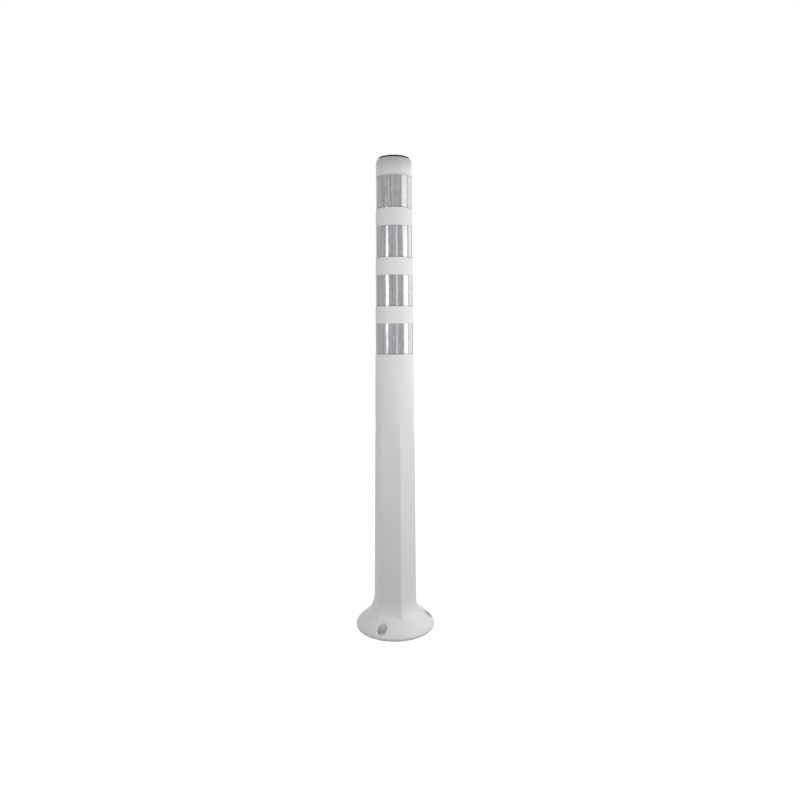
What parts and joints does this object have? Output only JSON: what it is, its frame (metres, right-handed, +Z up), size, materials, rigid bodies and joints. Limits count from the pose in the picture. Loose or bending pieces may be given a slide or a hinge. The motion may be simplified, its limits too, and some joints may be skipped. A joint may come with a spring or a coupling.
{
  "type": "solar delineator post",
  "caption": "Flexible white traffic post with a domed bolt-down foot, recessed silver reflective bands and a lift-out solar lamp in its top.",
  "frame": {"origin": "centre of the foot's underside, on the ground", "axes": "+Z up along the post; -Y is the front, through the middle of one anchor pocket; +X is to the right seen from the front"},
  "size_m": [0.215, 0.215, 1.25],
  "materials": {
    "white_polyurethane": "satin moulded polyurethane",
    "reflective_film": "silver-grey retroreflective film",
    "frosted_polycarbonate": "frosted translucent",
    "clear_window": "clear cast resin",
    "silicon_cells": "dark blue silicon",
    "circuit_board": "green solder mask",
    "black_plastic": "satin moulded black",
    "grey_plastic": "satin moulded grey",
    "white_plastic": "glossy white",
    "red_plastic": "glossy red",
    "led_amber": "phosphor",
    "black_rubber": "matt",
    "zinc_steel": "zinc plated",
    "brass_contact": "bright",
    "battery_wrap": "heat-shrunk wrap",
    "lead_insulation": "soft insulation"
  },
  "bodies": {
    "foot_body": {"foot": "white_polyurethane", "anchor_bushes": "zinc_steel", "neck_lower": "white_polyurethane"},
    "neck_body": {"neck_ring": "white_polyurethane", "neck_upper": "white_polyurethane"},
    "post_body": {"post_tube": "white_polyurethane", "band_1": "reflective_film", "band_2": "reflective_film", "band_3": "reflective_film", "band_4": "reflective_film"},
    "lamp_body": {"lens_collar": "frosted_polycarbonate", "bezel_ring": "black_plastic", "bezel_seal": "black_rubber", "panel_window": "clear_window", "solar_cells": "silicon_cells", "solar_panel": "circuit_board", "bezel_screws": "zinc_steel", "reflector_cone": "white_plastic", "led_board": "circuit_board", "leds": "led_amber", "board_parts": "black_plastic", "board_screws": "zinc_steel", "lamp_chassis": "grey_plastic", "chassis_seal": "black_rubber", "battery": "battery_wrap", "battery_holder": "black_plastic", "battery_contacts": "brass_contact", "battery_cover": "black_plastic", "cover_gasket": "black_rubber", "cover_screws": "zinc_steel", "switch_body": "black_plastic", "button_spring": "zinc_steel", "panel_leads": "lead_insulation", "battery_leads": "lead_insulation", "switch_leads": "lead_insulation"},
    "button_body": {"power_button": "red_plastic"}
  },
  "joints": [
    {"name": "bend_fore_aft", "type": "hinge", "parent": "foot_body", "child": "neck_body", "pos_m": [0, 0, 0.13106], "axis": [1, 0, 0], "range_deg": [-75, 75], "stiffness_Nm_per_rad": 120, "deforming": ["neck_lower"]},
    {"name": "bend_sideways", "type": "hinge", "parent": "neck_body", "child": "post_body", "pos_m": [0, 0, 0.23717], "axis": [0, 1, 0], "range_deg": [-75, 75], "stiffness_Nm_per_rad": 120, "deforming": ["neck_upper"]},
    {"name": "lamp_lift", "type": "slide", "parent": "post_body", "child": "lamp_body", "axis": [0, 0, 1], "range_m": [0, 0.1]},
    {"name": "button_press", "type": "slide", "parent": "lamp_body", "child": "button_body", "axis": [0, 0, 1], "range_m": [0, 0.0015], "stiffness_N_per_m": 500, "springref_m": -0.003, "deforming": ["button_spring"]}
  ]
}
